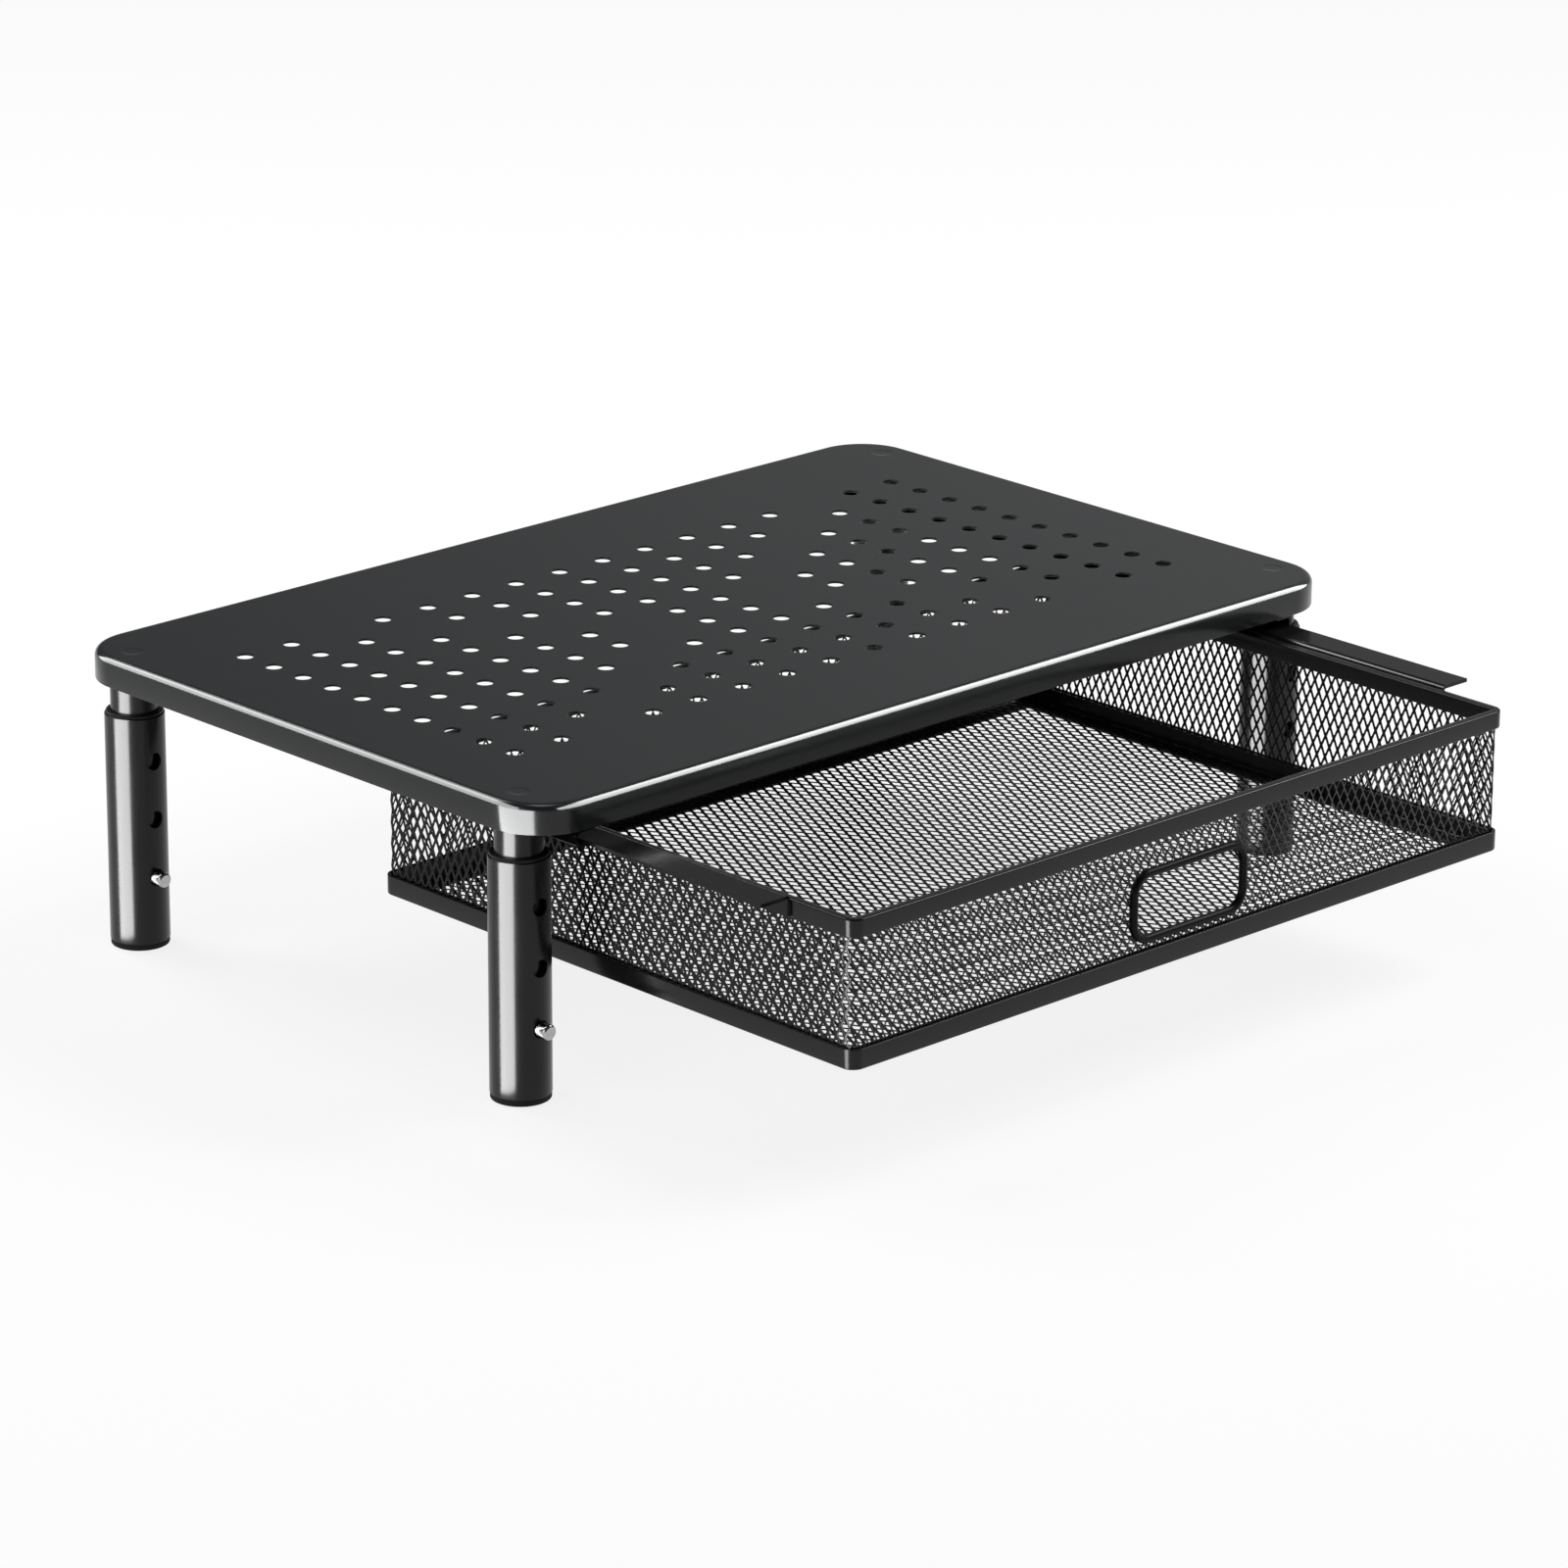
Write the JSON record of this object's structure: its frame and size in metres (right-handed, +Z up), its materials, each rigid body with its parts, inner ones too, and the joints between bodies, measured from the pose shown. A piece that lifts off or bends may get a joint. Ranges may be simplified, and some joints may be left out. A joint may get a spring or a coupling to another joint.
{
  "type": "monitor stand with drawer",
  "caption": "Black steel monitor riser: perforated platform on telescoping snap-button legs, with a sliding expanded-mesh drawer hung in rails for desk storage.",
  "frame": {"origin": "on the desk, under the middle of the whole object with its drawer half open", "axes": "+X along the platform's width, -Y out of the drawer's front, +Z up"},
  "size_m": [0.37, 0.3408, 0.1027],
  "materials": {
    "platform_coat": "fine satin black powder coat",
    "leg_coat": "semi-gloss black coat",
    "rail_coat": "satin black coat",
    "drawer_coat": "satin black coat",
    "mesh_coat": "satin black coat on expanded mesh",
    "spring_chrome": "bright plated spring steel",
    "plain_steel": "zinc plated",
    "bush_plastic": "moulded black nylon",
    "foot_rubber": "black rubber"
  },
  "bodies": {
    "platform": {"platform": "platform_coat", "rail_left": "rail_coat", "rail_right": "rail_coat", "leg_studs": "plain_steel", "post_inserts": "plain_steel", "leg_post_front_left": "leg_coat", "leg_post_front_right": "leg_coat", "leg_post_rear_left": "leg_coat", "leg_post_rear_right": "leg_coat"},
    "drawer": {"drawer_top_rim": "drawer_coat", "drawer_bottom_rim": "drawer_coat", "mesh_front": "mesh_coat", "mesh_back": "mesh_coat", "mesh_left": "mesh_coat", "mesh_right": "mesh_coat", "mesh_floor": "mesh_coat", "handle_frame": "drawer_coat", "runner_left": "rail_coat", "runner_right": "rail_coat"},
    "leg_front_left": {"leg_sleeve_front_left": "leg_coat", "guide_bush_front_left": "bush_plastic", "rubber_foot_front_left": "foot_rubber"},
    "button_front_left": {"snap_clip_front_left": "spring_chrome"},
    "leg_front_right": {"leg_sleeve_front_right": "leg_coat", "guide_bush_front_right": "bush_plastic", "rubber_foot_front_right": "foot_rubber"},
    "button_front_right": {"snap_clip_front_right": "spring_chrome"},
    "leg_rear_left": {"leg_sleeve_rear_left": "leg_coat", "guide_bush_rear_left": "bush_plastic", "rubber_foot_rear_left": "foot_rubber"},
    "button_rear_left": {"snap_clip_rear_left": "spring_chrome"},
    "leg_rear_right": {"leg_sleeve_rear_right": "leg_coat", "guide_bush_rear_right": "bush_plastic", "rubber_foot_rear_right": "foot_rubber"},
    "button_rear_right": {"snap_clip_rear_right": "spring_chrome"}
  },
  "joints": [
    {"name": "drawer_slide", "type": "slide", "parent": "platform", "child": "drawer", "axis": [0, -1, 0], "range_m": [-0.1068, 0.06]},
    {"name": "leg_front_left_slide", "type": "slide", "parent": "platform", "child": "leg_front_left", "axis": [0, 0, -1], "range_m": [0, 0.041], "deforming": ["snap_clip_front_left"]},
    {"name": "button_front_left_press", "type": "slide", "parent": "platform", "child": "button_front_left", "axis": [0, 1, 0], "range_m": [0, 0.0058], "stiffness_N_per_m": 1200, "springref_m": -0.002, "deforming": ["snap_clip_front_left"]},
    {"name": "leg_front_right_slide", "type": "slide", "parent": "platform", "child": "leg_front_right", "axis": [0, 0, -1], "range_m": [0, 0.041], "deforming": ["snap_clip_front_right"]},
    {"name": "button_front_right_press", "type": "slide", "parent": "platform", "child": "button_front_right", "axis": [0, 1, 0], "range_m": [0, 0.0058], "stiffness_N_per_m": 1200, "springref_m": -0.002, "deforming": ["snap_clip_front_right"]},
    {"name": "leg_rear_left_slide", "type": "slide", "parent": "platform", "child": "leg_rear_left", "axis": [0, 0, -1], "range_m": [0, 0.041], "deforming": ["snap_clip_rear_left"]},
    {"name": "button_rear_left_press", "type": "slide", "parent": "platform", "child": "button_rear_left", "axis": [0, 1, 0], "range_m": [0, 0.0058], "stiffness_N_per_m": 1200, "springref_m": -0.002, "deforming": ["snap_clip_rear_left"]},
    {"name": "leg_rear_right_slide", "type": "slide", "parent": "platform", "child": "leg_rear_right", "axis": [0, 0, -1], "range_m": [0, 0.041], "deforming": ["snap_clip_rear_right"]},
    {"name": "button_rear_right_press", "type": "slide", "parent": "platform", "child": "button_rear_right", "axis": [0, 1, 0], "range_m": [0, 0.0058], "stiffness_N_per_m": 1200, "springref_m": -0.002, "deforming": ["snap_clip_rear_right"]}
  ]
}
